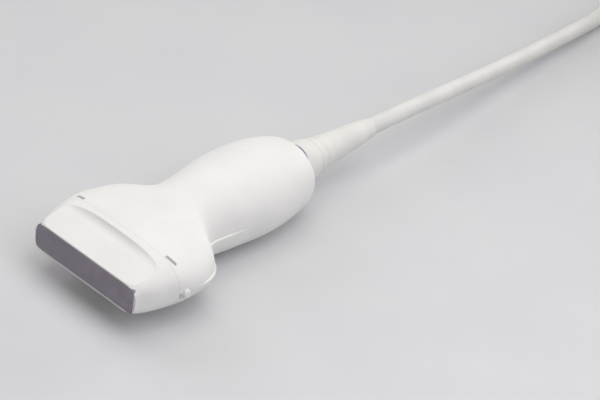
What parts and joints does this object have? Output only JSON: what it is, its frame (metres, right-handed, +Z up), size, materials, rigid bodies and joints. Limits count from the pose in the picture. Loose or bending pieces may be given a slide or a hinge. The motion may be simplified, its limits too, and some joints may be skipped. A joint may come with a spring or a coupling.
{
  "type": "ultrasound transducer probe",
  "caption": "Hand-held linear-array ultrasound probe: flat grey lens in a wide scooped nose, waisted two-shell handle, strain relief, cable and quarter-turn system connector.",
  "frame": {"origin": "under the middle of the probe (lens face to strain relief tip), on the surface that it lies on", "axes": "+X from the lens to the cable along the probe, +Y across it, +Z up"},
  "size_m": [0.5617, 0.0848, 0.0343],
  "materials": {
    "lens_silicone": "satin",
    "housing_plastic": "satin",
    "ring_plastic": "matte",
    "relief_rubber": "satin",
    "cable_jacket": "satin",
    "filled_resin": "matte",
    "piezo_ceramic": "matte",
    "backing_rubber": "matte",
    "aluminium": "satin",
    "flex_film": "satin",
    "board_laminate": "satin",
    "copper_sheet": "satin",
    "core_plastic": "matte",
    "plated_brass": "bright",
    "steel": "brushed",
    "connector_plastic": "matte",
    "contact_plastic": "matte",
    "knob_plastic": "satin"
  },
  "bodies": {
    "probe": {"acoustic_lens": "lens_silicone", "array_frame": "aluminium", "backing_block": "backing_rubber", "board_connectors": "contact_plastic", "bottom_shell": "housing_plastic", "braid_ferrule": "plated_brass", "cable": "cable_jacket", "cable_clamp_lower": "steel", "cable_clamp_upper": "steel", "cable_coil": "cable_jacket", "cable_root": "cable_jacket", "cable_tail": "cable_jacket", "circuit_board_bottom": "board_laminate", "circuit_board_top": "board_laminate", "clamp_screws": "steel", "coax_bundle": "core_plastic", "connector_base": "connector_plastic", "connector_board": "board_laminate", "connector_boot": "relief_rubber", "connector_cover": "connector_plastic", "connector_screws": "steel", "contact_block": "contact_plastic", "contact_pads": "plated_brass", "emi_shield": "copper_sheet", "flex_circuit_bottom": "flex_film", "flex_circuit_top": "flex_film", "id_ring": "ring_plastic", "lock_bush": "plated_brass", "matching_layer_inner": "filled_resin", "matching_layer_outer": "filled_resin", "nose_housing": "housing_plastic", "piezo_array": "piezo_ceramic", "strain_relief": "relief_rubber", "tail_root": "cable_jacket", "top_shell": "housing_plastic"},
    "lock": {"lock_knob": "knob_plastic", "lock_shaft": "steel", "lock_bar": "steel"}
  },
  "joints": [
    {"name": "lock_turn", "type": "hinge", "parent": "probe", "child": "lock", "pos_m": [0.451, -0.0003, 0.025], "axis": [0, 0, 1], "range_deg": [0, 90]}
  ]
}
